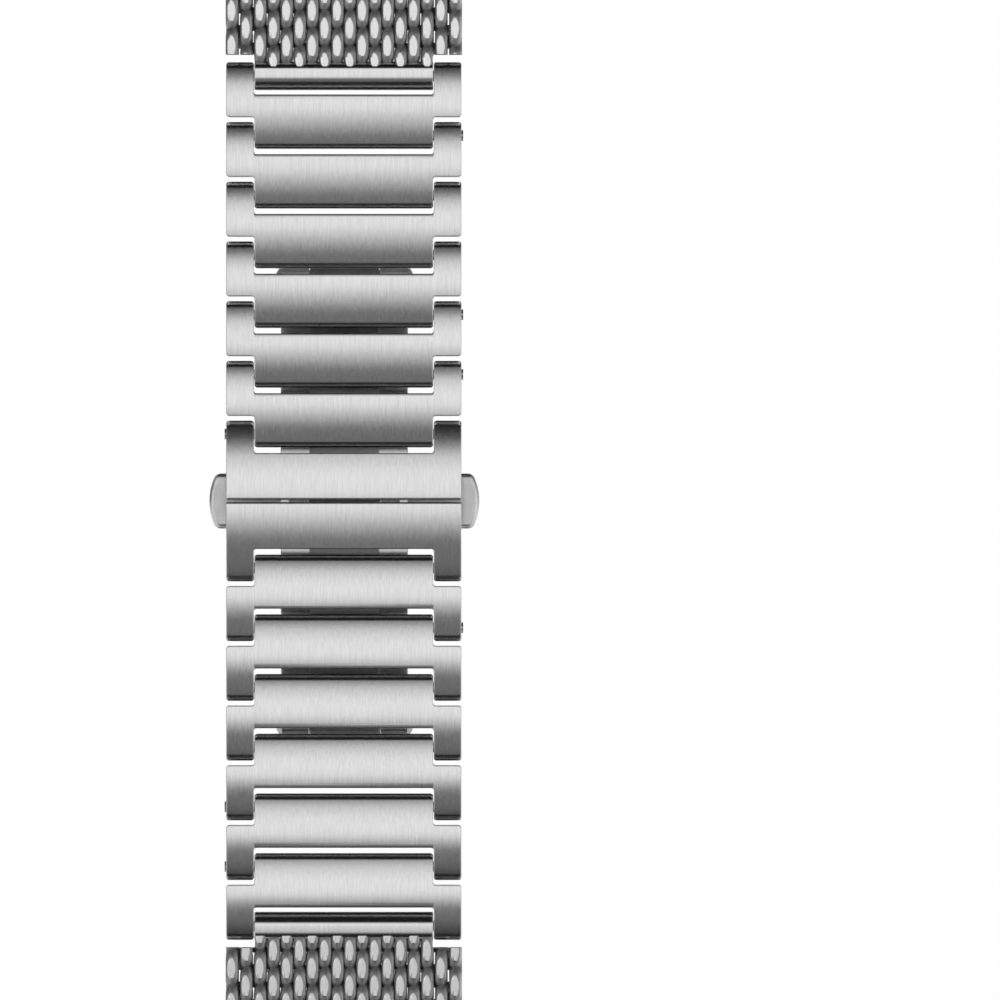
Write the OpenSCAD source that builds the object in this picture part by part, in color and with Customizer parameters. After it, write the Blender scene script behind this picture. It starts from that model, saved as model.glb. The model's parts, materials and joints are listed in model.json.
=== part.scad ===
// Steel watch band: woven mesh at both lug ends, H-shaped links, and a butterfly clasp in the middle.
// The band hangs straight and closed. X runs across it, its outside faces -Y and the wrist is at +Y.
// The origin is the middle of the upper spring bar. Half a is above the clasp, half b is below it.
// Heights in a half are counted from the clasp's centre line, where the two cover links meet.

/* [Links] */
// Width of the link part
band_w = 20; // [18:0.5:24]
// Thickness of the links
band_t = 3; // [2.8:0.1:3.6]
// Distance from one link pin to the next
pitch = 5.08; // [4.8:0.02:5.8]
// Width of an ear
ear_w = 2.35; // [2:0.05:3]
// How far ears and bars reach past their pin
link_end = 1.15; // [1:0.05:1.25]
// Open gap between the end of one bar and the next bar
bar_gap = 0.47; // [0.4:0.01:0.6]
// Open gap between one ear and the next ear
ear_gap = 0.38; // [0.3:0.01:0.5]
// Rounding of link ends on the outside
round_out = 0.65; // [0.5:0.05:1]
// Rounding of link ends on the wrist side
round_in = 0.7; // [0.5:0.05:0.9]
// Radius of the soft roll-off beside a link's window, on the outside
roll_r = 2.6; // [2:0.1:8]
// Width of that roll-off
roll_w = 0.45; // [0.3:0.05:0.8]
// Radius of the slightly domed outer face of a link
crown_r = 17; // [14:1:60]
// Radius of the domed outer face of a cover link
cover_crown_r = 24; // [16:1:60]
// Rounding of a link's corners as seen from the front
corner_r = 0.25; // [0.1:0.05:0.4]
// Rounding of the edges where the two cover links meet
meet_r = 0.15; // [0.1:0.01:0.3]
// Height of the first link pin above the clasp's centre line
cover_pin_h = 5.7; // [5.5:0.05:6.2]
// Gap between the two cover links
cover_gap = 0.2; // [0.15:0.01:0.4]
// Height of a cover link's highest point above the clasp's centre line
cover_crown_h = 0.7; // [0.5:0.1:3.5]

/* [Link pins] */
// Radius of a link pin
pin_r = 0.45; // [0.4:0.05:0.6]
// How far a link pin stands out on its proud side
pin_proud = 0.15; // [0.05:0.05:0.3]

/* [Mesh] */
// How far the mesh reaches past the links on each side
mesh_proud = 0.1; // [0:0.05:0.3]
// Thickness of the woven mesh
mesh_t = 3; // [2.8:0.1:3.6]
// Height of one woven row
row_pitch = 1.5; // [1.4:0.05:1.7]
// Height of the first row's middle above the mesh's low end
first_row = 0.35; // [0.1:0.01:0.4]
// Woven rows in each rigid length of mesh
rows = 8; // [6:1:10]
// Radius of a woven row's rounded edge
row_r = 0.55; // [0.5:0.01:0.6]
// Thickness of the solid tongue soldered into the mesh
tongue_t = 0.9; // [0.6:0.1:1.2]
// Length of that tongue
tongue_l = 3.2; // [2:0.1:4]

/* [Lug ends] */
// Distance from the end of the mesh to the spring bar
lug_l = 2.2; // [2:0.1:3]
// Outer radius of the lug tube
lug_r = 1.55; // [1.4:0.05:1.8]
// Free width of the lug tube less than the link width
lug_play = 0.2; // [0.1:0.05:0.4]
// Radius of the spring bar
bar_r = 0.75; // [0.7:0.05:0.9]
// Radius of the tip that goes into the watch lug
tip_r = 0.4; // [0.35:0.05:0.5]
// How far the tip reaches into the watch lug
tip_l = 0.95; // [0.8:0.05:1.1]

/* [Clasp plates] */
// Width of the centre plate
plate_w = 10.84; // [10.6:0.02:12]
// Thickness of the centre plate
plate_t = 0.8; // [0.7:0.05:1]
// Bend radius of the centre plate's outer face
plate_r = 65; // [60:1:90]
// Depth of the plate's outer face under the inner face of the links
plate_drop = 0.8; // [0.75:0.05:1.2]
// Height of a far hinge above the clasp's centre line
far_h = 19.25; // [18.5:0.05:20.5]
// Length of the window at each end of the plate
window_l = 4.85; // [4:0.05:6]
// Width of a folding blade
blade_w = 5.9; // [5:0.1:6.2]
// Thickness of a folding blade
blade_t = 0.6; // [0.5:0.02:0.62]
// Outer radius of the far hinge knuckles
knuckle_r = 0.95; // [0.9:0.01:1.1]
// Radius of a far hinge pin
hinge_pin_r = 0.5; // [0.4:0.05:0.6]
// Radius of a far hinge pin's domed head
head_r = 0.7; // [0.6:0.05:0.8]
// Height of that head
head_l = 0.45; // [0.3:0.05:0.6]
// Height of the hinge between cover link and blade
tip_h = 2.6; // [2.5:0.05:2.8]
// Depth of that hinge under the middle of the links
tip_drop = 1.2; // [1.1:0.05:1.3]
// Outer radius of the blade's tip knuckle
tip_knuckle_r = 0.75; // [0.7:0.01:0.8]
// Radius of the cover hinge pin
cover_hinge_r = 0.4; // [0.35:0.05:0.45]

/* [Clasp lock] */
// Length of the housing along the band
house_l = 9.54; // [9:0.02:10.5]
// Depth of the housing under the plate
house_t = 1.4; // [1.3:0.1:1.8]
// Wall between the housing's cavity and the pill plate
house_wall = 0.3; // [0.2:0.05:0.4]
// Length of the pill plate across the band
pill_w = 15.1; // [14:0.1:16]
// Height of the pill plate along the band
pill_h = 5.1; // [4.8:0.1:5.6]
// Thickness of the pill plate at its crown
pill_t = 0.8; // [0.7:0.05:1]
// Length of the enamel bar
inlay_w = 9.1; // [6:0.1:9.6]
// Height of the enamel bar
inlay_h = 1; // [0.8:0.1:1.4]
// Width over both push buttons
buttons_w = 23.05; // [22.4:0.05:24]
// Height of a push button's wing along the band
wing_h = 4.7; // [4:0.1:5]
// Thickness of a wing
wing_t = 1.4; // [1.2:0.1:1.5]
// Radius of a wing's curved outer end
wing_end_r = 5; // [4:0.5:14]
// Rounding of a wing's corners
wing_corner_r = 0.5; // [0.3:0.1:1.2]
// Travel of a push button
press = 0.8; // [0.6:0.05:0.9]

/* [Hidden] */
$fn = 48;
// Clearances: running fits, sliding sides, gaps between plates, fits of a fixed piece in its seat.
run = 0.05;
side = 0.06;
leaf_gap = 0.15;
window_gap = 0.07;
seat = 0.02;
eps = 0.01;
// A cutter's overshoot past the surface that it cuts.
over = 1;

links = 6;
lengths = 4;
halves = ["a", "b"];
ear_in = band_w / 2 - ear_w;
bar_w = 2 * (ear_in - side);
ear_l = pitch - ear_gap;
bar_l = pitch - bar_gap;
// The mesh starts just above pin 1 between the ears, and one row higher beside them.
mesh_start = 0.72;
mesh_h = cover_pin_h + links * pitch + mesh_start;
lug_h = mesh_h + first_row + (lengths * rows - 0.5) * row_pitch + lug_l;
mesh_w = band_w + 2 * mesh_proud;
tongue_inset = 1;
wire_y = mesh_t / 2 - row_r;
lug_w = band_w - lug_play;
// The end bar reaches a little further past its pin towards the first link than a link's bar does. Its
// outside is a narrow dome between two large end rounds, the lower one the larger.
end_drop = 0.08;
end_low_r = 1.1;
end_dome_h = 0.65;
end_top_r = 2 * link_end + end_drop - end_low_r - end_dome_h;

// The plates bend about one axis on the wrist side.
face_y = band_t / 2 + plate_drop;
bend_y = face_y + plate_r;
plate_ri = plate_r - plate_t;
blade_ri = plate_r + leaf_gap;
blade_ro = blade_ri + blade_t;
far_y = bend_y - sqrt(plate_r * plate_r - far_h * far_h);
window_w = blade_w + 2 * window_gap;
house_y = face_y + plate_t + house_t;
pill_y = house_y + pill_t;
pill_crown_r = 9;
inlay_sink = 0.04;
inlay_t = 0.3;

// The catch: two prongs on each cover link beside the blade, and a head on each push button.
prong_x = 3.4;
prong_w = 1;
prong_h = 0.95;
prong_l = 0.7;
prong_gap = 0.2;
prong_y = house_y - house_wall - prong_gap;
barb = 0.2;
barb_tip = 0.3;
barb_root = 0.5;
head_x = 2.2;
head_w = 0.85;
head_h = 3.6;
stem_h = 1.3;
stem_t = 0.7;
stem_drop = 0.6;
stem_y = face_y + plate_t + stem_drop;
slot_gap = 0.3;
slot_w = prong_w + 2 * slot_gap;
slot_h = 2.5;
cavity_h = 2.6;
wing_gap = 0.18;
wing_x = plate_w / 2 + press + wing_gap;
wing_sink = 0.1;
wing_y = house_y - wing_sink - wing_t;
tab_x = 4.47;
tab_h = 4.13;
tab_w = 0.77;
tab_l = 0.6;
tab_proud = 0.08;

// The cover link's own hinge: half the pin's length, and the reach of the room round the knuckle.
cover_pin_x = 5;
pocket_r = tip_knuckle_r + 2 * leaf_gap;

// The arrow engraved beside each link pin's way out.
arrow_l = 1.35;
arrow_w = 1;
arrow_neck = 0.45;
arrow_tail = 0.8;
arrow_deep = 0.12;
arrow_x = 8.64;
arrow_drop = 1.3;
cover_arrow_drop = 2.47;

// Spring bar: a collar that rests beside the watch lug, the barrel's half length, and the plunger.
collar_l = 0.6;
collar_step = 0.1;
collar_r = bar_r - collar_step;
collar_x = band_w / 2 - collar_l;
barrel_x = collar_x - tip_l - run;
barrel_wall = 0.25;
plunger_r = bar_r - barrel_wall;
crimp_step = 0.14;
neck_r = plunger_r - crimp_step;
crimp_l = 0.8;
plunger_l = 1;
spring_x = barrel_x - crimp_l - plunger_l - side;

// Which end of each link pin stands out, from the mesh to the cover, as +1, -1 or 0 for neither.
proud_a = [0, 1, 0, 0, 1, 1, -1];
proud_b = [0, 1, 1, 0, 0, -1, 0];

// Heights of link pins: pin 1 is next to the mesh, and the last one is in the cover link.
function pin_h(i) = cover_pin_h + (links + 1 - i) * pitch;

// Where half a or half b stands. Half b is half a turned half way round, so its parts are the same parts.
module half(h) {
    translate([0, 0, -lug_h]) rotate([0, h == "a" ? 0 : 180, 0]) children();
}

module clasp() {
    translate([0, 0, -lug_h]) children();
}

// Carries a profile drawn as depth and height across the band, from x0 to x1.
module across(x0, x1) {
    rotate([90, 0, 90]) translate([0, 0, x0]) linear_extrude(x1 - x0) children();
}

// Carries an outline drawn as width and height through the band's depth, from y0 to y1.
module through(y0, y1) {
    translate([0, y1, 0]) rotate([90, 0, 0]) linear_extrude(y1 - y0) children();
}

// A block between two places on each axis.
module box(x0, x1, y0, y1, z0, z1) {
    translate([x0, y0, z0]) cube([x1 - x0, y1 - y0, z1 - z0]);
}

// A round bar or hole across the band, at a depth and height.
module rod(r, x0, x1, y = 0, z = 0) {
    translate([x0, y, z]) rotate([0, 90, 0]) cylinder(r = r, h = x1 - x0);
}

module rounded(w, h, r) {
    translate([r, 0]) square([w - 2 * r, h]);
    translate([0, r]) square([w, h - 2 * r]);
    for (x = [r, w - r]) for (y = [r, h - r]) translate([x, y]) circle(r);
}

// Depth of the centre of an end round that leaves the dome smoothly. dz is its height over the crown.
function round_y(dz, r, dome_r) = -band_t / 2 + dome_r - sqrt((dome_r - r) * (dome_r - r) - dz * dz);

// The side view of a link between two heights: a domed outer face at the left, and rounded ends.
// r_low and r_top round the outside, and r_low_in rounds the low end on the wrist side. The dome has
// the radius dome_r and is highest at crown_z, or half way up where none is given. It reaches as far
// as the lines from its centre through the centres of the two end rounds.
module link_profile(
    z0, z1, r_low = round_out, r_top = round_out, r_low_in = round_in, crown_z = undef, dome_r = crown_r
) {
    y = band_t / 2;
    z_crown = is_undef(crown_z) ? (z0 + z1) / 2 : crown_z;
    low = [round_y(z0 + r_low - z_crown, r_low, dome_r), z0 + r_low];
    top = [round_y(z1 - r_top - z_crown, r_top, dome_r), z1 - r_top];
    centre = [-y + dome_r, z_crown];
    intersection() {
        translate(centre) circle(dome_r, $fn = 360);
        polygon([centre, centre + 2 * (low - centre), centre + 2 * (top - centre)]);
        translate([-y, z0]) square([y, z1 - z0]);
    }
    translate(low) circle(r_low);
    translate(top) circle(r_top);
    translate([low.x, z0]) square([-low.x, z_crown - z0]);
    translate([top.x, z_crown]) square([-top.x, z1 - z_crown]);
    translate([0, z0 + r_low_in]) square([y, z1 - z0 - r_low_in - round_in]);
    translate([0, z0]) square([y - r_low_in, r_low_in]);
    translate([0, z1 - round_in]) square([y - round_in, round_in]);
    translate([y - r_low_in, z0 + r_low_in]) circle(r_low_in);
    translate([y - round_in, z1 - round_in]) circle(round_in);
}

// Cutter for the roll-off of a link's outer edge across the band, from x0 to x1 at the height z. Its arc
// leaves the dome smoothly at the distance roll_w under the edge.
module roll_off(x0, x1, z, z_crown) {
    across(x0, x1) translate([-band_t / 2 + crown_r, z_crown])
        rotate(-asin((z - z_crown - roll_w) / crown_r)) difference() {
            translate([-crown_r - over, 0]) square([2 * over, roll_w + over]);
            translate([-crown_r + roll_r, 0]) circle(roll_r, $fn = 180);
        }
}

// The material left in a concave corner of radius corner_r. The corner point is at the origin.
module fillet() {
    difference() {
        square(corner_r);
        translate([corner_r, corner_r]) circle(corner_r);
    }
}

// The front view of a link's two ears and of the cross piece that joins them.
module ears_outline(cross_low, cross_top, ear_low, ear_top) {
    for (s = [0, 1]) mirror([s, 0]) {
        translate([ear_in, ear_low]) rounded(ear_w, ear_top - ear_low, corner_r);
        translate([ear_in, cross_top]) rotate(90) fillet();
        translate([0, cross_low]) square([ear_in + corner_r, cross_top - cross_low]);
    }
}

module arrow(z) {
    l = arrow_l / 2;
    w = arrow_w / 2;
    translate([arrow_x, 0, z]) through(band_t / 2 - arrow_deep, band_t / 2 + over)
        polygon([
            [-l, 0], [0, w], [0, w * arrow_neck], [l, w * arrow_tail],
            [l, -w * arrow_tail], [0, -w * arrow_neck], [0, -w]
        ]);
}

// One H-shaped link. Its ear pin is at height z and its bar pin one pitch below.
module link(z) {
    ear_top = z + link_end;
    ear_low = ear_top - ear_l;
    bar_low = z - pitch - link_end;
    bar_top = bar_low + bar_l;
    color("silver") difference() {
        intersection() {
            across(-band_w / 2, band_w / 2) link_profile(bar_low, ear_top);
            through(-band_t, band_t) {
                ears_outline(ear_low, bar_top, ear_low, ear_top);
                translate([-bar_w / 2, bar_low]) rounded(bar_w, bar_l, corner_r);
                for (s = [0, 1]) mirror([s, 0]) translate([bar_w / 2, ear_low]) mirror([0, 1]) fillet();
            }
        }
        for (s = [-1, 1]) rod(pin_r, s * band_w / 2 - ear_w, s * band_w / 2 + ear_w, 0, z);
        rod(pin_r + run, -bar_w, bar_w, 0, z - pitch);
        arrow(z - arrow_drop);
        roll_off(-ear_in + eps, ear_in - eps, bar_top, (bar_low + ear_top) / 2);
    }
}

// The last link of each half: ears for the last bar, and a full-width plate over the clasp.
module cover() {
    z0 = cover_gap / 2;
    plate_top = cover_pin_h - link_end - bar_gap;
    ear_top = cover_pin_h + link_end;
    color("silver") difference() {
        union() {
            intersection() {
                across(-band_w / 2, band_w / 2) cover_profile(z0, ear_top);
                through(-band_t, band_t) ears_outline(z0 + corner_r, plate_top, z0, ear_top);
            }
            intersection() {
                across(-ear_in - corner_r, ear_in + corner_r) cover_profile(z0, ear_top);
                box(-band_w, band_w, -band_t, band_t, z0, plate_top);
            }
            for (s = [-1, 1]) prong(s);
        }
        for (s = [-1, 1]) rod(pin_r, s * band_w / 2 - ear_w, s * band_w / 2 + ear_w, 0, cover_pin_h);
        knuckle_pocket();
        rod(cover_hinge_r, -cover_pin_x, cover_pin_x, tip_drop, tip_h);
        arrow(cover_pin_h - cover_arrow_drop);
    }
}

module cover_profile(z0, z1) {
    link_profile(z0, z1, meet_r, round_out, meet_r, cover_crown_h, cover_crown_r);
}

// Room for the blade's tip knuckle, also while the cover link turns over it.
module knuckle_pocket() {
    box(-blade_w / 2 - leaf_gap, blade_w / 2 + leaf_gap, tip_drop - pocket_r, band_t, 0, tip_h + pocket_r);
}

module prong(s) {
    x = s > 0 ? prong_x : -prong_x - prong_w;
    box(x, x + prong_w, band_t / 2 - round_in, prong_y, prong_h, prong_h + prong_l);
    translate([0, 0, prong_h]) linear_extrude(prong_l)
        polygon([
            [s * prong_x, prong_y - barb_root],
            [s * (prong_x - barb), prong_y - barb_tip],
            [s * prong_x, prong_y]
        ]);
}

module link_pin(i, proud) {
    x0 = -band_w / 2 - (proud < 0 ? pin_proud : 0);
    x1 = band_w / 2 + (proud > 0 ? pin_proud : 0);
    color("gray") rod(pin_r, x0, x1, 0, pin_h(i));
}

module bar_profile() {
    z0 = pin_h(1) - link_end - end_drop;
    link_profile(z0, pin_h(1) + link_end, end_low_r, end_top_r, crown_z = z0 + end_low_r + end_dome_h / 2);
}

// The solid bar between the first link's ears, with a tongue that the mesh is soldered over.
module end_bar() {
    z = pin_h(1);
    color("silver") difference() {
        union() {
            across(-bar_w / 2, bar_w / 2) bar_profile();
            x = bar_w / 2 - tongue_inset;
            box(-x, x, -tongue_t / 2, tongue_t / 2, z + pin_r + run, mesh_h + tongue_l);
        }
        rod(pin_r + run, -bar_w, bar_w, 0, z);
    }
}

// One woven row in side view, as rounded edges on both faces and a core that joins it to its neighbours.
module row_profile(z) {
    for (y = [-wire_y, wire_y]) translate([y, z]) circle(row_r);
    translate([-wire_y, z - row_r]) square([2 * wire_y, 2 * row_r]);
}

// A rigid length of mesh. Length 1 is soldered to the lug end and the last one to the end bar.
module mesh(i) {
    top = lug_h - lug_l - (i - 1) * rows * row_pitch;
    low = top - rows * row_pitch;
    last = i == lengths;
    first_full = last ? 1 : 0;
    color("lightsteelblue") difference() {
        union() {
            across(-mesh_w / 2, mesh_w / 2) {
                for (k = [first_full : rows - 1]) row_profile(low + (k + 0.5) * row_pitch);
                for (k = [first_full : rows - 2])
                    translate([-wire_y, low + (k + 0.5) * row_pitch]) square([2 * wire_y, row_pitch]);
                if (i == 1) translate([-wire_y, top - row_pitch / 2]) square([2 * wire_y, row_pitch / 2]);
                if (last) translate([-wire_y, low + row_pitch]) square([2 * wire_y, row_pitch / 2]);
            }
            if (last) across(-bar_w / 2, bar_w / 2) {
                row_profile(low + row_pitch / 2);
                translate([-wire_y, low]) square([2 * wire_y, 2 * row_pitch]);
            }
        }
        if (last) box(-band_w, band_w, -band_t, band_t, low - over, mesh_h);
        if (last) across(-band_w, band_w) for (s = [-seat, seat]) translate([s, seat]) bar_profile();
        if (last) tongue_room(bar_w / 2 - tongue_inset, low - over, mesh_h + tongue_l);
        if (i == 1) tongue_room(lug_w / 2 - tongue_inset, top - tongue_l, top + over);
    }
}

module tongue_room(x, z0, z1) {
    box(-x - seat, x + seat, -tongue_t / 2 - seat, tongue_t / 2 + seat, z0, z1 + seat);
}

// The tube that the spring bar turns in, with its tongue into the mesh.
module lug_end() {
    low = lug_h - lug_l;
    color("silver") difference() {
        union() {
            rod(lug_r, -lug_w / 2, lug_w / 2, 0, lug_h);
            box(-lug_w / 2, lug_w / 2, -wire_y, wire_y, low, lug_h);
            x = lug_w / 2 - tongue_inset;
            box(-x, x, -tongue_t / 2, tongue_t / 2, low - tongue_l + seat, low + eps);
        }
        rod(bar_r + run, -band_w, band_w, 0, lug_h);
    }
}

module spring_bar() {
    color("gray") difference() {
        rod(bar_r, -barrel_x, barrel_x, 0, lug_h);
        rod(plunger_r, -barrel_x + crimp_l, barrel_x - crimp_l, 0, lug_h);
        rod(neck_r, -band_w, band_w, 0, lug_h);
    }
}

module bar_spring() {
    color("dimgray") difference() {
        rod(plunger_r - run, -spring_x, spring_x, 0, lug_h);
        rod(plunger_r / 2, -band_w, band_w, 0, lug_h);
    }
}

// A sprung tip: plunger head inside the barrel, neck, collar, and the pin that enters the watch lug.
module tip(s) {
    color("gray") mirror([s < 0 ? 1 : 0, 0, 0]) {
        rod(plunger_r - run, spring_x, spring_x + plunger_l, 0, lug_h);
        rod(neck_r - run, spring_x, collar_x, 0, lug_h);
        rod(collar_r, collar_x, collar_x + collar_l, 0, lug_h);
        rod(tip_r, collar_x, band_w / 2 + tip_l, 0, lug_h);
    }
}

// The bent strip between two radii, from one height to another.
module leaf_profile(r0, r1, z0, z1) {
    intersection() {
        difference() {
            translate([bend_y, 0]) circle(r1, $fn = 720);
            translate([bend_y, 0]) circle(r0, $fn = 720);
        }
        translate([0, z0]) square([far_y + band_t, z1 - z0]);
    }
}

// The folding blade lies on the plate and joins the far hinge to the cover link's hinge.
module blade() {
    color("darkgray") difference() {
        across(-blade_w / 2, blade_w / 2) {
            leaf_profile(blade_ri, blade_ro, tip_h, far_h);
            translate([far_y, far_h]) circle(knuckle_r);
            translate([tip_drop, tip_h]) circle(tip_knuckle_r);
        }
        rod(hinge_pin_r + run, -blade_w, blade_w, far_y, far_h);
        rod(cover_hinge_r + run, -blade_w, blade_w, tip_drop, tip_h);
    }
}

module cover_pin() {
    color("gray") rod(cover_hinge_r, -cover_pin_x, cover_pin_x, tip_drop, tip_h);
}

// The four places where the centre plate's tabs go through the housing.
module at_tabs() {
    for (x = [-tab_x, tab_x]) for (z = [-tab_h, tab_h]) translate([x, 0, z]) children();
}

module centre_plate() {
    color("silver") {
        difference() {
            across(-plate_w / 2, plate_w / 2) {
                leaf_profile(plate_ri, plate_r, -far_h, far_h);
                for (s = [-1, 1]) translate([far_y, s * far_h]) circle(knuckle_r);
            }
            for (s = [-1, 1]) {
                z = s > 0 ? far_h + knuckle_r - window_l : -far_h - knuckle_r - over;
                box(-window_w / 2, window_w / 2, 0, far_y + band_t, z, z + window_l + over);
                rod(hinge_pin_r, -band_w, band_w, far_y, s * far_h);
                x = s > 0 ? prong_x - slot_gap : -prong_x + slot_gap - slot_w;
                box(x, x + slot_w, 0, face_y + plate_t + over, -slot_h, slot_h);
            }
        }
        w = tab_w / 2;
        l = tab_l / 2;
        at_tabs() box(-w, w, face_y + plate_t / 2, house_y + tab_proud, -l, l);
    }
}

module hinge_pins() {
    dome_r = (head_r * head_r + head_l * head_l) / (2 * head_l);
    x = plate_w / 2;
    color("gray") for (z = [-far_h, far_h]) {
        rod(hinge_pin_r, -x, x, far_y, z);
        for (s = [-1, 1]) intersection() {
            translate([s * (x + head_l - dome_r), far_y, z]) sphere(dome_r);
            translate([s > 0 ? x : -x - over, far_y - over, z - over]) cube([over, 2 * over, 2 * over]);
        }
    }
}

// The block on the wrist side that holds both push buttons.
module housing() {
    x = plate_w / 2;
    z = house_l / 2;
    color("gray") difference() {
        intersection() {
            box(-x, x, face_y, house_y, -z, z);
            rod(plate_ri, -x, x, bend_y, 0, $fn = 720);
        }
        box(-x - over, x + over, face_y, house_y - house_wall, -cavity_h, cavity_h);
        w = tab_w / 2 + seat;
        l = tab_l / 2 + seat;
        at_tabs() box(-w, w, face_y, house_y + over, -l, l);
    }
}

module pill_outline(w, h) {
    square([w - h, h], center = true);
    for (s = [-1, 1]) translate([s * (w - h) / 2, 0]) circle(h / 2);
}

module pill_cover() {
    color("silver") difference() {
        intersection() {
            through(house_y, pill_y) pill_outline(pill_w, pill_h);
            rod(pill_crown_r, -pill_w, pill_w, pill_y - pill_crown_r, 0);
        }
        through(pill_y - inlay_sink - inlay_t, pill_y + over) pill_outline(inlay_w, inlay_h);
        at_tabs() box(-tab_w, tab_w, house_y - over, house_y + tab_proud + seat, -tab_l, tab_l);
    }
}

module enamel_bar() {
    top = pill_y - inlay_sink;
    color("orange") through(top - inlay_t, top) pill_outline(inlay_w - seat, inlay_h - seat);
}

module wing_outline() {
    x1 = buttons_w / 2;
    intersection() {
        union() {
            translate([wing_x, -wing_h / 2]) rounded(x1 - wing_x, wing_h, wing_corner_r);
            translate([wing_x, -wing_h / 2]) square([wing_corner_r, wing_h]);
        }
        translate([x1 - wing_end_r, 0]) circle(wing_end_r, $fn = 96);
    }
}

// A push button: a curved wing outside the housing, a stem, and a head behind the prongs.
module button() {
    color("dimgray") {
        through(wing_y, wing_y + wing_t) wing_outline();
        box(head_x, wing_x + eps, stem_y - stem_t / 2, stem_y + stem_t / 2, -stem_h / 2, stem_h / 2);
        box(head_x, head_x + head_w, stem_y - stem_t / 2, stem_y + stem_t / 2, -head_h / 2, head_h / 2);
    }
}

module button_spring() {
    color("dimgray") difference() {
        rod(stem_t / 2, -head_x, head_x, stem_y, 0);
        rod(stem_t / 4, -plate_w, plate_w, stem_y, 0);
    }
}

for (h = halves) {
    half(h) spring_bar();
    half(h) bar_spring();
    half(h) tip(h == "a" ? -1 : 1);
    half(h) tip(h == "a" ? 1 : -1);
    half(h) lug_end();
    half(h) end_bar();
    half(h) cover();
    half(h) blade();
    half(h) cover_pin();
    for (i = [1 : lengths]) half(h) mesh(i);
    for (i = [1 : links]) half(h) link(pin_h(i));
    proud = h == "a" ? proud_a : proud_b;
    for (i = [1 : links + 1]) half(h) link_pin(i, proud[i - 1]);
}
clasp() centre_plate();
clasp() hinge_pins();
clasp() housing();
clasp() pill_cover();
clasp() enamel_bar();
clasp() button();  // button_right
clasp() mirror([1, 0, 0]) button();  // button_left
clasp() button_spring();
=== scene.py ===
"""Steel watch band: woven mesh ends, H-shaped links and a butterfly clasp. Sizes are in metres."""

import json
import math

import bmesh
import bpy
import numpy as np
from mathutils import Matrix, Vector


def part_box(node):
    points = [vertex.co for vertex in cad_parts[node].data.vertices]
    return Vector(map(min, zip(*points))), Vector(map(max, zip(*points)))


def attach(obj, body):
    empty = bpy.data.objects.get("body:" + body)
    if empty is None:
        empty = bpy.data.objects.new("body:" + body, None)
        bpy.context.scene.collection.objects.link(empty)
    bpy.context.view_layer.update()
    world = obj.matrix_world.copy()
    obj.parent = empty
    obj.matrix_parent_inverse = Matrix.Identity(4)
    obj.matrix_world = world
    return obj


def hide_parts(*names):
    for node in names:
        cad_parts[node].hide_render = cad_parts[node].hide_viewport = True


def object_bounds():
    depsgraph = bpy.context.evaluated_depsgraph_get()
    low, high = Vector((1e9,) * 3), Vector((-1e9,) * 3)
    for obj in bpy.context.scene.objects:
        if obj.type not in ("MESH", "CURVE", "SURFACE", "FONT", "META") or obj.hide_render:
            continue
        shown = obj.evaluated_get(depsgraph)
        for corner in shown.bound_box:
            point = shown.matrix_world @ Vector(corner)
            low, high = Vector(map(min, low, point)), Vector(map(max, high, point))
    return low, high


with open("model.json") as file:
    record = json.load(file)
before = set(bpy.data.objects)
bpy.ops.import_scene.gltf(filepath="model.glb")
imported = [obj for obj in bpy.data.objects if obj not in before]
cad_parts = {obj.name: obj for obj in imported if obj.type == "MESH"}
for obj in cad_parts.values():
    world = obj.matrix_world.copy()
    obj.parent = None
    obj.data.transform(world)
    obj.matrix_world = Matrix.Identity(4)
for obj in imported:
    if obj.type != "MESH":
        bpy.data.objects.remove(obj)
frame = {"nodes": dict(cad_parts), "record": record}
cad_low, cad_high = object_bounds()
mm = 0.001


# Camera: straight in front of the outside face, as the photograph's left view stands in its frame.
# The long lens keeps the band's edges parallel, and the frame is 85.1 mm wide at the band.
scene = bpy.context.scene
scene.view_settings.view_transform = "Standard"
clasp_low, clasp_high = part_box("centre_plate")
clasp_z = (clasp_low.z + clasp_high.z) / 2
frame_width = 85.1 * mm
camera_distance = 1.2
band_left_of_middle = 13.28 * mm
clasp_below_middle = 0.085 * mm
sensor_width = 36
camera_data = bpy.data.cameras.new("camera")
camera_data.sensor_width = sensor_width
camera_data.lens = sensor_width * camera_distance / frame_width
camera_data.clip_start, camera_data.clip_end = 0.05, 40
camera = bpy.data.objects.new("camera", camera_data)
camera.location = (band_left_of_middle, -camera_distance, clasp_z + clasp_below_middle)
camera.rotation_euler = (math.radians(90), 0, 0)
scene.collection.objects.link(camera)
scene.camera = camera


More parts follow.
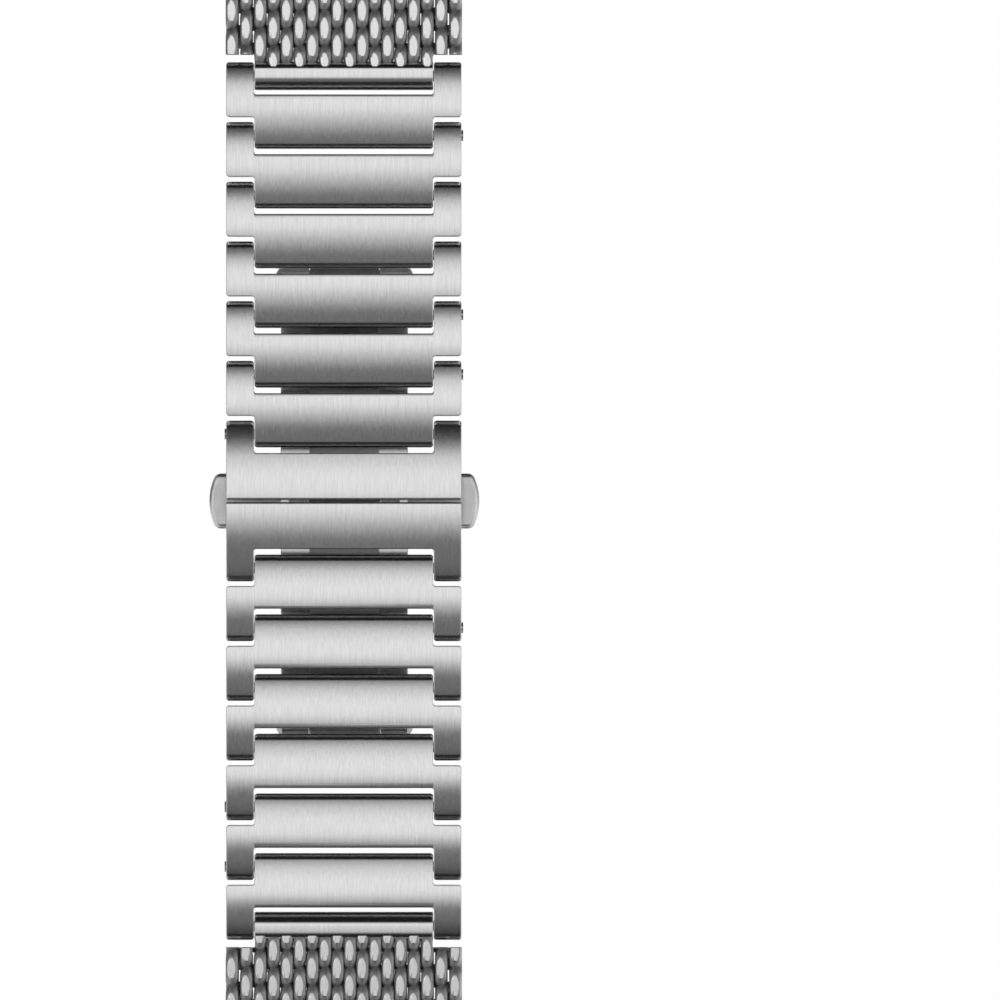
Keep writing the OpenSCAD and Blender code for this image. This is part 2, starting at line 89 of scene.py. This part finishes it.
# Links, cover links, end bars and lug ends: blocks of steel milled to shape, brushed along the band, with
# every edge broken. Their material is put together with Wires, as all the other finishes are.
class Wire:
    """A socket of a shader tree. Arithmetic on it adds Math nodes, and make() adds any other node."""

    def __init__(self, tree, socket=None):
        self.tree, self.socket = tree, socket

    def make(self, kind, settings=None, out=0, **inputs):
        """Adds a node. Inputs go by socket name with _ for a space, or by position as i0, i1 and so on."""
        node = self.tree.nodes.new(kind)
        for name, value in (settings or {}).items():
            setattr(node, name, value)
        for name, value in inputs.items():
            by_place = name[0] == "i" and name[1:].isdigit()
            socket = node.inputs[int(name[1:]) if by_place else name.replace("_", " ")]
            if isinstance(value, Wire):
                self.tree.links.new(value.socket, socket)
            else:
                socket.default_value = value
        return Wire(self.tree, node.outputs[out])

    def maths(self, operation, *operands):
        """A Math node's result."""
        values = {f"i{i}": v for i, v in enumerate(operands)}
        return self.make("ShaderNodeMath", {"operation": operation}, **values)

    def __add__(self, other):
        return self.maths("ADD", self, other)

    def __radd__(self, other):
        return self.maths("ADD", other, self)

    def __sub__(self, other):
        return self.maths("SUBTRACT", self, other)

    def __rsub__(self, other):
        return self.maths("SUBTRACT", other, self)

    def __mul__(self, other):
        return self.maths("MULTIPLY", self, other)

    def __rmul__(self, other):
        return self.maths("MULTIPLY", other, self)

    def __truediv__(self, other):
        return self.maths("DIVIDE", self, other)

    def __rtruediv__(self, other):
        return self.maths("DIVIDE", other, self)

    def __pow__(self, other):
        return self.maths("POWER", self, other)

    def __abs__(self):
        return self.maths("ABSOLUTE", self)

    def between(self, low, high):
        """0 below low, 1 above high, and smooth from one to the other."""
        settings = {"interpolation_type": "SMOOTHSTEP"}
        return self.make("ShaderNodeMapRange", settings, Value=self, From_Min=low, From_Max=high)

    def tint(self, dark, light):
        """A colour from dark at 0 to light at 1."""
        settings = {"data_type": "RGBA"}
        return self.make("ShaderNodeMix", settings, out=2, i0=self, i6=(*dark, 1), i7=(*light, 1))


def begin(name):
    """A new material: its tree, its shader node, and the place in mm as three Wires."""
    material = bpy.data.materials.new(name)
    material.use_nodes = True
    tree = material.node_tree
    shader = tree.nodes["Principled BSDF"]
    pen = Wire(tree)
    place = pen.make("ShaderNodeTexCoord", out=3)
    parts = pen.make("ShaderNodeSeparateXYZ", i0=place)
    x, y, z = (Wire(tree, parts.socket.node.outputs[i]) * 1000 for i in range(3))
    return material, shader, pen, (x, y, z)


def grain(pen, x, y, z, detail=2.0):
    """Noise over a place given in its own units, from 0 to 1."""
    at = pen.make("ShaderNodeCombineXYZ", i0=x, i1=y, i2=z)
    return pen.make("ShaderNodeTexNoise", Vector=at, Scale=1.0, Detail=detail, Roughness=0.6)


def drive(pen, shader, name, wire):
    """Links a Wire to one of the shader's own sockets."""
    pen.tree.links.new(wire.socket, shader.inputs[name])


edge_r = 0.17 * mm
groove_depth = 0.01 * mm
# Dark grey for painted shade.
painted_shade_grey = (0.09, 0.09, 0.09, 1)


def brushed(name, colour, roughness, lines, spot=None):
    """Satin steel: fine grooves along z and faint broader streaks. spot gives where shade is painted in
    dark grey.
    """
    material, shader, pen, (x, y, z) = begin(name)
    fine = grain(pen, x * 15, y * 15, z * 0.5)
    broad = grain(pen, x * 4.5, y * 4.5, z * 0.25)
    cloud = grain(pen, x * 0.8, y * 0.8, z * 0.9, 3.0)
    tone = fine * 0.7 + broad * 0.1 + cloud * 0.2
    dark, light = [c * 0.93 for c in colour], [min(1, c * 1.07) for c in colour]
    steel = tone.between(0.3, 0.7).tint(dark, light)
    # Painted shade: where spot gives 1, the steel's colour gives way to the dark grey.
    if spot:
        painted_shading = spot(x, y, z)
        steel = pen.make("ShaderNodeMix", {"data_type": "RGBA"}, out=2, i0=painted_shading, i6=steel, i7=painted_shade_grey)
    drive(pen, shader, "Base Color", steel)
    drive(pen, shader, "Roughness", roughness + (fine - 0.5) * 0.08 + (cloud - 0.5) * 0.03)
    shader.inputs["Metallic"].default_value = 1
    rounded = pen.make("ShaderNodeBevel", {"samples": 6}, Radius=edge_r)
    height = fine * 0.8 + cloud * 0.2
    bump = pen.make("ShaderNodeBump", Strength=lines, Distance=groove_depth, Height=height, Normal=rounded)
    drive(pen, shader, "Normal", bump)
    return material


def paint(material, names):
    """Puts a material on whole CAD nodes."""
    for name in names:
        slots = frame["nodes"][name].data.materials
        for i in range(len(slots)):
            slots[i] = material


body_of = {node: body for body, nodes in frame["record"]["behaviour"]["bodies"].items() for node in nodes}
merge_distance = 0.0002 * mm
one_plane = math.radians(0.1)
soft_turn_deg, wing_turn, dome_turn = 25, 0.8, math.radians(2)
flat_to_wrist = 0.99999
wing_from_x, wing_edge_steps = 8 * mm, 4
half_link_t = 1.5 * mm


def finished(name, material, dome_r=None, crown_z=None, wing_edge=None):
    """A copy of a CAD node with soft shading over its facets, as the finisher leaves it.

    Faces that turn by less than soft_turn_deg shade as one, apart from the flat wrist faces. Where an outer
    dome is given by its radius and the height of its crown, the dome's facets all shade as that circle.
    wing_edge rounds the outline of a push button's wing, which is further out than wing_from_x."""
    form = bmesh.new()
    form.from_mesh(frame["nodes"][name].data)
    bmesh.ops.remove_doubles(form, verts=form.verts, dist=merge_distance)
    if wing_edge:
        bmesh.ops.dissolve_limit(form, angle_limit=one_plane, verts=form.verts, edges=form.edges)
        weight = form.edges.layers.float.new("bevel_weight_edge")
        for e in form.edges:
            out = abs(e.verts[0].co.x + e.verts[1].co.x) / 2
            e[weight] = float(e.calc_face_angle_signed(0) > wing_turn and out > wing_from_x)
    for f in form.faces:
        f.smooth = True
    for e in form.edges:
        flat = max(f.normal.y for f in e.link_faces) > flat_to_wrist
        e.smooth = math.degrees(e.calc_face_angle(0)) < soft_turn_deg and not flat
    mesh = bpy.data.meshes.new(f"{name}_finished")
    form.to_mesh(mesh)
    form.free()
    if dome_r:
        centre = np.array([0, dome_r - half_link_t, crown_z])
        corner_vertex = np.empty(len(mesh.loops), int)
        mesh.loops.foreach_get("vertex_index", corner_vertex)
        out = (np.array([v.co for v in mesh.vertices]) - centre)[corner_vertex] * (0, 1, 1)
        out /= np.linalg.norm(out, axis=1, keepdims=True)
        face_out = (np.array([f.center for f in mesh.polygons]) - centre) * (0, 1, 1)
        face_out /= np.linalg.norm(face_out, axis=1, keepdims=True)
        domed = (np.array([f.normal for f in mesh.polygons]) * face_out).sum(1) > math.cos(dome_turn)
        domed = np.repeat(domed, [f.loop_total for f in mesh.polygons])
        mesh.normals_split_custom_set((out * domed[:, None]).tolist())
    piece = bpy.data.objects.new(mesh.name, mesh)
    scene.collection.objects.link(piece)
    if wing_edge:
        rounding = piece.modifiers.new("rounding", "BEVEL")
        rounding.width, rounding.segments = wing_edge, wing_edge_steps
        rounding.limit_method = "WEIGHT"
        rounding.use_clamp_overlap, rounding.harden_normals = False, True
    mesh.materials.append(material)
    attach(piece, body_of[name])
    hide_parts(name)


halves = "ab"
links_each = 6
link_dome_r, cover_dome_r = 17 * mm, 24 * mm
cover_crown_off, end_crown_off = 0.7 * mm, 0.195 * mm
link_steel = brushed("link_steel", (0.75, 0.75, 0.755), 0.16, 0.15)


def middle_z(name):
    """Height of the middle of a CAD node's box."""
    low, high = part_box(name)
    return (low.z + high.z) / 2


for half in halves:
    up = 1 if half == "a" else -1
    for i in range(1, links_each + 1):
        name = f"link_{half}{i}"
        finished(name, link_steel, link_dome_r, middle_z(name))
    finished(f"cover_{half}", link_steel, cover_dome_r, clasp_z + up * cover_crown_off)
    end_crown_z = middle_z(f"pin_{half}1") + up * end_crown_off
    finished(f"end_bar_{half}", link_steel, link_dome_r, end_crown_z)
paint(link_steel, ["lug_end_a", "lug_end_b"])


# Pins, spring bars and their tips: plain turned steel, with the tool's fine rings across the axis.
def turned(name, colour, roughness):
    """Turned steel: rings across x, a little darker in the tool's grooves."""
    material, shader, pen, (x, y, z) = begin(name)
    rings = grain(pen, x * 18, y * 0.6, z * 0.6)
    drive(pen, shader, "Base Color", rings.tint([c * 0.85 for c in colour], colour))
    drive(pen, shader, "Roughness", roughness + (rings - 0.5) * 0.1)
    shader.inputs["Metallic"].default_value = 1
    bump = pen.make("ShaderNodeBump", Strength=0.15, Distance=groove_depth, Height=rings)
    drive(pen, shader, "Normal", bump)
    return material


pin_steel = turned("pin_steel", (0.6, 0.6, 0.6), 0.28)
pin_nodes = [f"pin_{h}{i}" for h in halves for i in range(1, links_each + 2)] + ["hinge_pins"]
pin_nodes += [f"{n}_{h}" for h in halves for n in ("spring_bar", "tip_left", "tip_right", "cover_pin")]
paint(pin_steel, pin_nodes)
spring_steel = turned("spring_steel", (0.35, 0.35, 0.36), 0.35)
paint(spring_steel, ["bar_spring_a", "bar_spring_b", "button_spring"])


# Woven mesh: flattened coils of 1 mm wire that run across the band, each hooked into the next one.
# The wrist side is ground flat after weaving. Each of a half's four rigid lengths rides on its own body.
# Below the shoulder the last length is only as wide as the end bar, which it is soldered to.
mesh_bodies = {1: "lug_{}", 2: "mesh_{}2", 3: "mesh_{}3", 4: "end_{}"}
rows_each, last_length = 8, 4
row_pitch, first_row = 1.5 * mm, 0.35 * mm
wire_r, wire_half_w = 0.53 * mm, 0.55 * mm
coil_h = 1.26 * mm
out_depth, in_depth = 1.05 * mm, 1.312 * mm
out_squareness, in_squareness = 4.0, 2.8
crown_y, pointed_crown_y, ground_y = -1.44 * mm, -1.5 * mm, 1.49 * mm
pressed_within = 0.01 * mm
columns = 18
column_pitch, column_spread = 1.06, 0.0008
lug_length = 2.2 * mm
low_end = -lug_length - (last_length * rows_each - 0.5) * row_pitch - first_row
end_slant = 0.04
half_b_sinks = 0.6 * mm
shoulder, shoulder_x = low_end + 1.1 * mm, 7.55 * mm
near_zero = 1e-7
wire_pit_depth = 0.02 * mm


def column_x(u):
    """Place across the band of column u: evenly spread, and a little wider towards both sides.

    column_pitch times s plus column_spread times s cubed, in mm, where s counts from the middle."""
    s = u - (columns - 1) / 2
    return (column_pitch * s + column_spread * s**3) * mm


def coil_path(u, front, z_mid):
    """Centre line of a coil. It turns half way round for each column, on a rounded rectangle.

    Across the band it stays near its column, by the fifth power of the distance from it, so the runs on
    both faces stand upright: 16 times 0.5 to the fifth power is half a column again. The coil's ends are
    flush with the sides. The wrist side is rounder."""
    phi = np.pi * (u - front)
    column = np.round(u)
    across = column_x((column + 16 * (u - column) ** 5).clip(0, columns - 1))
    outside = np.cos(phi) > 0
    deep = np.where(outside, out_depth, in_depth)
    power = np.where(outside, out_squareness, in_squareness)
    reach = (np.abs(np.cos(phi) / deep) ** power + np.abs(np.sin(phi) / coil_h) ** power) ** (-1 / power)
    return np.stack([across, -reach * np.cos(phi), z_mid + reach * np.sin(phi)], -1), phi


def coil_tube(front, z_mid, pointed):
    """A round tube along coil_path, with its two faces pressed onto the crown and the ground plane.

    The ring's twelve points lie closest where the flats on both faces end. The runs of a pointed row
    narrow to their ends as half ellipses. Each point keeps its place on the wire: its offset sideways
    and outwards in wire radii, and its height on the run in mm. A pointed row is pressed less, so that its
    points lie on the end bar. The steps along a run are given in degrees of the coil's turn."""
    steps = [-90, -64, -50, -38, -22, 22, 38, 50, 64]
    if pointed:
        steps = [-90, -64, -50, -38, -30, -20, -17, -13, -7, 0, 12, 22, 38, 50, 64]
    u = (np.arange(columns)[:, None] + np.array(steps)[None] / 180).ravel()
    u = np.append(u, columns - 0.5)
    path, phi = coil_path(u, front, z_mid)
    along = np.gradient(path, axis=0)
    along /= np.linalg.norm(along, axis=1, keepdims=True)
    outward = np.stack([0 * phi, -np.cos(phi), np.sin(phi)], -1)
    outward -= along * (outward * along).sum(1, keepdims=True)
    outward /= np.linalg.norm(outward, axis=1, keepdims=True)
    sideways = np.cross(along, outward)
    half_ring = np.array([18, 42.5, 66, 91, 120, 155])
    ring = np.radians(np.append(half_ring, 360 - half_ring[::-1]))
    run = path[:, 2] - z_mid
    half_width = wire_half_w * np.ones_like(u)
    if pointed:
        outside = np.cos(phi) > 0
        narrow_from, narrow_l = np.where(outside, 0.3, 0.1) * mm, np.where(outside, 0.7, 0.6) * mm
        half_width *= np.sqrt(1 - ((narrow_from - run) / narrow_l).clip(0, 0.99) ** 2)
    points = path[:, None] + wire_r * np.cos(ring)[None, :, None] * outward[:, None]
    points += (half_width[:, None] * np.sin(ring)[None])[..., None] * sideways[:, None]
    points[..., 1] = points[..., 1].clip(pointed_crown_y if pointed else crown_y, ground_y)
    place = np.broadcast_arrays(np.sin(ring)[None], np.cos(ring)[None], run[:, None] * 1000)
    n, k = points.shape[:2]
    i, j = np.meshgrid(np.arange(n - 1), np.arange(k), indexing="ij")
    near, far = i * k + j, i * k + (j + 1) % k
    quads = np.stack([near, far, far + k, near + k], -1).reshape(-1, 4)
    return points.reshape(-1, 3), quads, np.stack(place, -1).reshape(-1, 3)


def weave_rows(half, rows):
    """Vertices, faces and places of several coils. Half b is half a turned half way round; its places turn
    over too, so that the painted highlights lie on its wires as on half a's.
    """
    spots, faces, places = [], [], []
    for row in rows:
        z_mid = -lug_length - (row + 0.5) * row_pitch - (half_b_sinks if half == "b" else 0)
        pointed = half == "a" and row == last_length * rows_each - 1
        points, quads, place = coil_tube(row % 2, z_mid, pointed)
        faces.append(quads + sum(len(s) for s in spots))
        spots.append(points)
        places.append(place)
    spots, places = np.concatenate(spots), np.concatenate(places)
    if half == "b":
        spots = spots * (-1, 1, -1) + (0, 0, 2 * clasp_z)
        # The places turn over with the points, so that the painted flank highlight lies on the same side of
        # half b's wires as of half a's.
        places = places * (-1, 1, -1)
    return spots, np.concatenate(faces), places


def woven(name, half, length):
    """A rigid length of mesh: its coils, cut off flush where it ends, with flat caps on the cut wires.

    A cap at the shoulder's inner corner lies on two planes, and is split where it turns. The pressed
    crowns, the ground side and the caps shade flat, and the rest of the wire shades round."""
    rows = range((length - 1) * rows_each, length * rows_each)
    spots, faces, places = weave_rows(half, rows)
    mesh = bpy.data.meshes.new(name)
    mesh.from_pydata(spots, [], faces)
    mesh.attributes.new("wire_place", "FLOAT_VECTOR", "POINT").data.foreach_set("vector", places.ravel())
    piece = bpy.data.objects.new(name, mesh)
    scene.collection.objects.link(piece)
    form = bmesh.new()
    form.from_mesh(mesh)
    flip = -1 if half == "b" else 1

    def height(z):
        """Half a's height z on this half."""
        return 2 * clasp_z - z if half == "b" else z

    def cut(z, slant, keep_below, wide=None):
        """Cuts across the band at a height of half a. wide spares the middle."""
        everything = form.verts[:] + form.edges[:] + form.faces[:]
        if wide:
            for side in (-wide, wide):
                bmesh.ops.bisect_plane(form, geom=everything, plane_co=(side, 0, 0), plane_no=(1, 0, 0))
                everything = form.verts[:] + form.edges[:] + form.faces[:]
        normal = (0, slant, flip)
        bmesh.ops.bisect_plane(form, geom=everything, plane_co=(0, 0, height(z)), plane_no=normal)
        sign = 1 if keep_below else -1
        gone = []
        for f in form.faces:
            at = f.calc_center_median()
            off = (at.z - height(z)) * flip + at.y * slant
            if off * sign > 0 and (not wide or abs(at.x) > wide):
                gone.append(f)
        bmesh.ops.delete(form, geom=gone, context="FACES")

    if length == 1:
        cut(-lug_length, 0, True)
    if length == last_length:
        cut(low_end, end_slant, False)
        cut(shoulder, 0, False, shoulder_x)
    bmesh.ops.holes_fill(form, edges=form.edges[:], sides=0)
    for f in [f for f in form.faces if len(f.verts) > 4]:
        at_side = [v for v in f.verts if abs(abs(v.co.x) - shoulder_x) < near_zero]
        turns = [v for v in at_side if abs(v.co.z - height(shoulder)) < near_zero]
        if len(turns) == 2:
            bmesh.utils.face_split(f, *turns)
    bmesh.ops.recalc_face_normals(form, faces=form.faces[:])
    for f in form.faces:
        ys = [v.co.y for v in f.verts]
        pressed = min(ys) >= ground_y - pressed_within or max(ys) <= crown_y + pressed_within
        f.smooth = not pressed and len(ys) <= 4
    for e in form.edges:
        e.smooth = len({f.smooth for f in e.link_faces}) == 1
    form.to_mesh(mesh)
    form.free()
    return piece


def mesh_wire():
    """Woven wire: polished on the crown of each run and where the wrist side is ground, rougher between.
    The polished parts are also painted bright as highlights, and the rest is painted darker as shade.

    The crown's painted highlight is an oval on the wire, a little off the run's middle, and a thin painted
    highlight runs along one flank of every wire."""
    material, shader, pen, (x, y, z) = begin("mesh_steel")
    fine = grain(pen, x * 9, y * 9, z * 2.5)
    blotch = grain(pen, x * 2.2, y * 2.2, z * 2.2, 3.0)
    wire_place = pen.make("ShaderNodeAttribute", {"attribute_name": "wire_place"}, out=1)
    at = pen.make("ShaderNodeSeparateXYZ", i0=wire_place)
    sideways, outward, run = (Wire(pen.tree, at.socket.node.outputs[i]) for i in range(3))
    outside = (0 - y).between(0.3, 0.6)
    # Painted highlight: an oval on the crown of each outside run, set a little off its middle.
    oval = ((sideways + 0.12) / 0.66) ** 2 + ((run + 0.08) / 0.8) ** 2
    crown = (1 - oval.between(0.85, 1.15)) * outward.between(0.2, 0.5) * outside
    # Painted highlight: a thin line along one flank, on the same side of every wire.
    flank = sideways.between(0.55, 0.85) * outward.between(0.1, 0.3) * (1 - abs(run).between(0.7, 1.1))
    # The ground flats of the wrist side are painted bright as a highlight too.
    ground = y.between(1.45, 1.48)
    # Painted shade: away from the painted highlights the wire is painted darker, with random blotches, and
    # the flank's painted highlight is added.
    painted_shading = 0.36 + 0.2 * blotch + 0.4 * flank
    bright = crown.maths("MAXIMUM", crown, ground)
    rough = 1 - bright * 0.75
    tone = painted_shading + (0.98 - painted_shading) * bright + (fine - 0.5) * 0.12 * rough
    drive(pen, shader, "Base Color", tone.tint((0, 0, 0), (0.93, 0.93, 0.93)))
    drive(pen, shader, "Roughness", 0.55 - bright * 0.27 + (fine - 0.5) * 0.16 * rough)
    shader.inputs["Metallic"].default_value = 1
    height = (fine * 0.6 + blotch * 0.6) * rough
    bump = pen.make("ShaderNodeBump", Strength=0.25, Distance=wire_pit_depth, Height=height)
    drive(pen, shader, "Normal", bump)
    return material


mesh_steel = mesh_wire()
for half in halves:
    for length, body in mesh_bodies.items():
        weave = woven(f"weave_{half}{length}", half, length)
        weave.data.materials.append(mesh_steel)
        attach(weave, body.format(half))
        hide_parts(f"mesh_{half}{length}")


# Clasp plate and pill plate: thin sheet with a fine grain along the band. On its outside the clasp plate
# has shade painted in dark grey between the ends of the folding blades, where the catch is.
def catch_spot(x, y, z):
    """Painted shade: 1 on the clasp plate's outer face behind the gap between the cover links, 0 elsewhere.
    """
    along = abs(z - clasp_z / mm)
    return (1 - abs(x).between(3.0, 3.1)) * (1 - along.between(1.7, 1.9)) * (1 - y.between(2.4, 2.6))


plate_steel = brushed("plate_steel", (0.8, 0.8, 0.8), 0.2, 0.15)
paint(plate_steel, ["pill_cover"])
paint(brushed("clasp_plate_steel", (0.8, 0.8, 0.8), 0.2, 0.15, catch_spot), ["centre_plate"])


# Folding blades, housing and push buttons: bead-blasted steel, darker and without any direction.
pit_depth = 0.02 * mm
blasted_edge_r = 0.12 * mm


def blasted(name, colour, roughness, grain_size):
    """Bead-blasted steel: small round pits of one grain size in mm, and a faint cloudiness."""
    material, shader, pen, (x, y, z) = begin(name)
    specks = grain(pen, x / grain_size, y / grain_size, z / grain_size, 1.0)
    cloud = grain(pen, x * 0.6, y * 0.6, z * 0.6, 1.0)
    tone = specks * 0.7 + cloud * 0.3
    dark, light = [c * 0.78 for c in colour], [min(1, c * 1.2) for c in colour]
    drive(pen, shader, "Base Color", tone.between(0.3, 0.7).tint(dark, light))
    drive(pen, shader, "Roughness", roughness + (specks - 0.5) * 0.2)
    shader.inputs["Metallic"].default_value = 1
    rounded = pen.make("ShaderNodeBevel", {"samples": 6}, Radius=blasted_edge_r)
    bump = pen.make("ShaderNodeBump", Strength=0.4, Distance=pit_depth, Height=specks, Normal=rounded)
    drive(pen, shader, "Normal", bump)
    return material


frosted_steel = blasted("frosted_steel", (0.33, 0.33, 0.33), 0.42, 0.085)
paint(frosted_steel, ["blade_a", "blade_b", "housing"])
button_steel = blasted("button_steel", (0.78, 0.78, 0.785), 0.34, 0.07)
wing_corner_r = 0.4 * mm
for name in ("button_left", "button_right"):
    finished(name, button_steel, wing_edge=wing_corner_r)


# Enamel fill of the pill plate: orange, level with the steel, polished with it.
def enamel_fill():
    """Glossy orange enamel, slightly uneven in tone."""
    material, shader, pen, (x, y, z) = begin("enamel")
    cloud = grain(pen, x * 1.5, y, z * 3.0)
    drive(pen, shader, "Base Color", cloud.tint((0.78, 0.29, 0.06), (0.93, 0.42, 0.12)))
    shader.inputs["Roughness"].default_value = 0.3
    shader.inputs["Coat Weight"].default_value = 0.4
    return material


paint(enamel_fill(), ["enamel_bar"])


# Studio: a pale floor in white surroundings, and the band hangs over it by the 34 mm that an open blade
# adds to its length. Cards that only reflections see shape the light on the steel, as a photographer's
# black cards do: overhead, beside the band, and level with its low end.
floor_z, floor_r = cad_low.z - 35 * mm, 1.2
card_z = cad_low.z - 0.03 * mm
card_edge = 0.65
surround = 0.8


def sheet(name, corners):
    """A flat piece of stage from its corner points, in metres."""
    mesh = bpy.data.meshes.new(name)
    mesh.from_pydata(corners, [], [list(range(len(corners)))])
    piece = bpy.data.objects.new(name, mesh)
    scene.collection.objects.link(piece)
    return piece


def disc(radius, z, sides=128):
    """Corner points of a level round sheet."""
    turn = np.linspace(0, 2 * np.pi, sides, endpoint=False)
    return np.stack([radius * np.cos(turn), radius * np.sin(turn), 0 * turn + z], -1)


def floor_paint():
    """Pale matt floor that fades into the background far from the band."""
    material, shader, pen, (x, y, z) = begin("floor_paint")
    away = (x * x + y * y) ** 0.5
    mottle = grain(pen, x * 0.02, y * 0.02, z)
    drive(pen, shader, "Base Color", mottle.tint((0.86, 0.86, 0.86), (0.88, 0.88, 0.88)))
    shader.inputs["Roughness"].default_value = 0.9
    shader.inputs["Specular IOR Level"].default_value = 0
    drive(pen, shader, "Alpha", 1 - away.between(350, 1000))
    return material


def screen(name, corners, glow, wedge=None):
    """A card that only reflections see. glow gives its brightness from the place on it, in mm.

    A wedge around the way forward or back fades to its sides, where |x| reaches wedge times |y|, from
    card_edge of that on."""
    card = sheet(name, corners)
    card.visible_camera = card.visible_diffuse = card.visible_shadow = card.visible_transmission = False
    material, shader, pen, (x, y, z) = begin(name)
    shader.inputs["Base Color"].default_value = (0, 0, 0, 1)
    shader.inputs["Roughness"].default_value = 1
    shader.inputs["Specular IOR Level"].default_value = 0
    shader.inputs["Emission Strength"].default_value = 1
    drive(pen, shader, "Emission Color", glow(x, y).tint((0, 0, 0), (1, 1, 1)))
    if wedge:
        drive(pen, shader, "Alpha", 1 - (abs(x) / abs(y)).between(card_edge * wedge, wedge))
    card.data.materials.append(material)


def overhead_glow(x, y):
    """Black over the band and brighter further out, in two steps: soon up to 0.8, then slowly up to 1."""
    away = (x * x + y * y) ** 0.5
    return 0.01 + 0.79 * away.between(1080, 1950) + 0.2 * away.between(1800, 3400)


def back_overhead_glow(x, y):
    """Dim, and nearly black straight over the band."""
    return 0.02 + 0.23 * ((x * x + y * y) ** 0.5).between(60, 200)


def floor_glow(x, y):
    """Dark near the band and brighter further out, sooner on the wrist side. It is black under the band."""
    away = (x * x + y * y) ** 0.5
    front = (0 - y).between(-20, 20)
    rising = 0.95 - 318 / away
    out_side = rising.maths("MAXIMUM", rising, 0.175)
    wrist_side = 0.19 + 0.81 * away.between(300, 420)
    return (front * out_side + (1 - front) * wrist_side) * (0.1 + 0.9 * away.between(90, 210))


sheet("floor", disc(floor_r, floor_z)).data.materials.append(floor_paint())


def sector(half_angle, radius, z, side):
    """A level wedge around the way forward (side -1) or back (side 1), from the band's middle outwards."""
    spread = np.radians(np.linspace(-half_angle, half_angle, 73))
    rim = np.stack([radius * np.sin(spread), side * radius * np.cos(spread), 0 * spread + z], -1)
    return np.vstack([[(0, 0, z)], rim])


front_overhead_z, back_overhead_z = 0.423, 57.6 * mm
screen("front_overhead_card", sector(42, 3.4, front_overhead_z, -1), overhead_glow, 0.9)
screen("back_overhead_card", sector(138, 0.48, back_overhead_z, 1), back_overhead_glow)
for name, side in (("front_card", -1), ("back_card", 1)):
    screen(name, sector(38, 6, card_z, side), floor_glow, 0.78)
side_card = [(0.9, -0.5, 0), (0.9, 1.6, 0), (0.9, 1.6, 1.2), (0.9, -0.5, 1.2)]
for name, side, glow in (("left_card", -1, 0.1), ("right_card", 1, 0.45)):
    screen(name, np.array(side_card) * (side, 1, 1) + (0, 0, card_z), lambda x, y: x * 0 + glow)

# Surroundings: white where the camera, a reflection or glass sees them, and a little dimmer as a light.
world = bpy.data.worlds.new("surroundings")
scene.world = world
world.use_nodes = True
tree = world.node_tree
tree.nodes.clear()
pen = Wire(tree)
seen = pen.make("ShaderNodeLightPath")
rays = seen.socket.node.outputs
direct = Wire(tree, rays["Is Camera Ray"]) + Wire(tree, rays["Is Glossy Ray"])
direct = direct + Wire(tree, rays["Is Transmission Ray"])
mixing = {"data_type": "RGBA", "clamp_factor": True}
dim, white = (surround, surround, surround, 1), (1, 1, 1, 1)
light = pen.make("ShaderNodeMix", mixing, out=2, i0=direct, i6=dim, i7=white)
background = pen.make("ShaderNodeBackground", Color=light, Strength=1.0)
output = tree.nodes.new("ShaderNodeOutputWorld")
tree.links.new(background.socket, output.inputs["Surface"])
